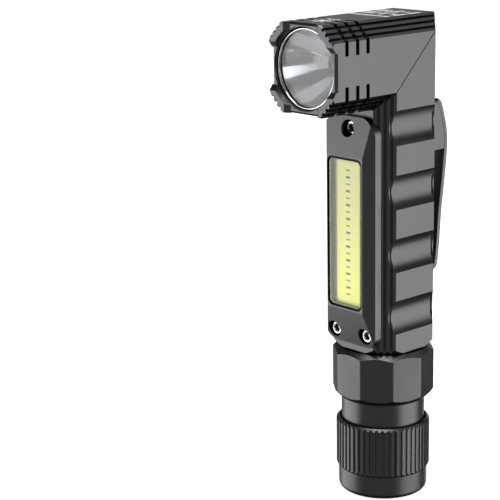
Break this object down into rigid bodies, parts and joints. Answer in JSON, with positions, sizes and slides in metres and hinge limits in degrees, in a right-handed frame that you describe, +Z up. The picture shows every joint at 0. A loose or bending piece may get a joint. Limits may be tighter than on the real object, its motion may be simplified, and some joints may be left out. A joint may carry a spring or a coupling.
{
  "type": "flashlight",
  "caption": "Square twist-head flashlight with fluted corners, side work-light panel, spring clip and screw-off knurled tail cap; its head turns between straight and right angle.",
  "frame": {"origin": "centre of the tail cap's end face, on the body's axis", "axes": "+Z up the body towards the head; the side lamp faces -Y, the clip is on +Y, the switch faces -X; at rest the head is turned to a right angle and shines along -Y"},
  "size_m": [0.0318, 0.0578, 0.1496],
  "materials": {
    "anodised": "black hard-anodised aluminium, satin",
    "dark_anodised": "black anodised, turned, satin to gloss",
    "clear_cover": "clear polycarbonate cover",
    "lens_glass": "clear coated glass",
    "rubber": "black rubber, matt",
    "bright_screws": "bright plated steel",
    "dark_screws": "black oxide steel",
    "polished_ring": "polished stainless steel",
    "reflector": "vacuum-metallised, mirror bright",
    "board_white": "aluminium circuit board with pale solder mask",
    "phosphor": "pale yellow silicone phosphor",
    "bare_aluminium": "machined aluminium",
    "steel": "turned steel",
    "magnet": "nickel-plated magnet",
    "brass": "turned brass",
    "circuit": "green circuit board",
    "component": "moulded electronic component",
    "cell_wrap": "shrink wrap",
    "red_wire": "silicone insulation",
    "black_wire": "silicone insulation"
  },
  "bodies": {
    "body": {"body_shell": "anodised", "cob_bezel": "anodised", "clip_block": "anodised", "clip_plate": "anodised", "switch_bezel": "anodised", "tail_tube": "dark_anodised", "cob_window": "clear_cover", "window_seal": "rubber", "spigot_seal": "rubber", "tail_seal": "rubber", "pivot_seal": "rubber", "switch_seal": "rubber", "bezel_screw_top": "bright_screws", "bezel_screw_left": "bright_screws", "bezel_screw_right": "bright_screws", "clip_screw_lower": "dark_screws", "clip_screw_upper": "dark_screws", "cob_board": "board_white", "cob_strip": "phosphor", "driver_ring": "brass", "positive_contact": "brass", "driver_board": "circuit", "switch_board": "circuit", "driver_chip": "component", "driver_coil": "component", "tact_switch": "component", "battery_cell": "cell_wrap", "driver_lead_positive": "red_wire", "driver_lead_negative": "black_wire"},
    "head": {"head_shell": "anodised", "lens_ring": "polished_ring", "lens": "lens_glass", "lens_seal": "rubber", "reflector": "reflector", "led_emitter": "phosphor", "led_board": "board_white", "heat_sink": "bare_aluminium", "pivot_tube": "steel", "pivot_nut": "brass", "pivot_washer": "steel", "stop_pin": "steel", "led_lead_positive": "red_wire", "led_lead_negative": "black_wire"},
    "power_button": {"power_button": "rubber"},
    "clip_arm": {"clip_arm": "anodised"},
    "tail_contact": {"spring_seat": "brass", "tail_spring": "steel"},
    "tail_cap": {"tail_cap": "dark_anodised", "tail_magnet": "magnet"}
  },
  "joints": [
    {"name": "head_twist", "type": "hinge", "parent": "body", "child": "head", "pos_m": [0, 0, 0.1364], "axis": [0, 0.7071, -0.7071], "range_deg": [0, 180]},
    {"name": "power_button_press", "type": "slide", "parent": "body", "child": "power_button", "axis": [1, 0, 0], "range_m": [0, 0.0008], "stiffness_N_per_m": 1500, "springref_m": -0.0003},
    {"name": "clip_flex", "type": "hinge", "parent": "body", "child": "clip_arm", "pos_m": [0, 0.0205, 0.1064], "axis": [1, 0, 0], "range_deg": [0, 7], "stiffness_Nm_per_rad": 2.5, "springref_deg": -1.15},
    {"name": "tail_cap_travel", "type": "slide", "parent": "body", "child": "tail_contact", "axis": [0, 0, -1], "range_m": [0, 0.0075]},
    {"name": "tail_cap_turn", "type": "hinge", "parent": "tail_contact", "child": "tail_cap", "pos_m": [0, 0, 0], "axis": [0, 0, -1], "range_deg": [0, 2160]}
  ],
  "couplings": [
    {"joint": "tail_cap_turn", "follows": "tail_cap_travel", "rad_per_m": 5026.5}
  ]
}
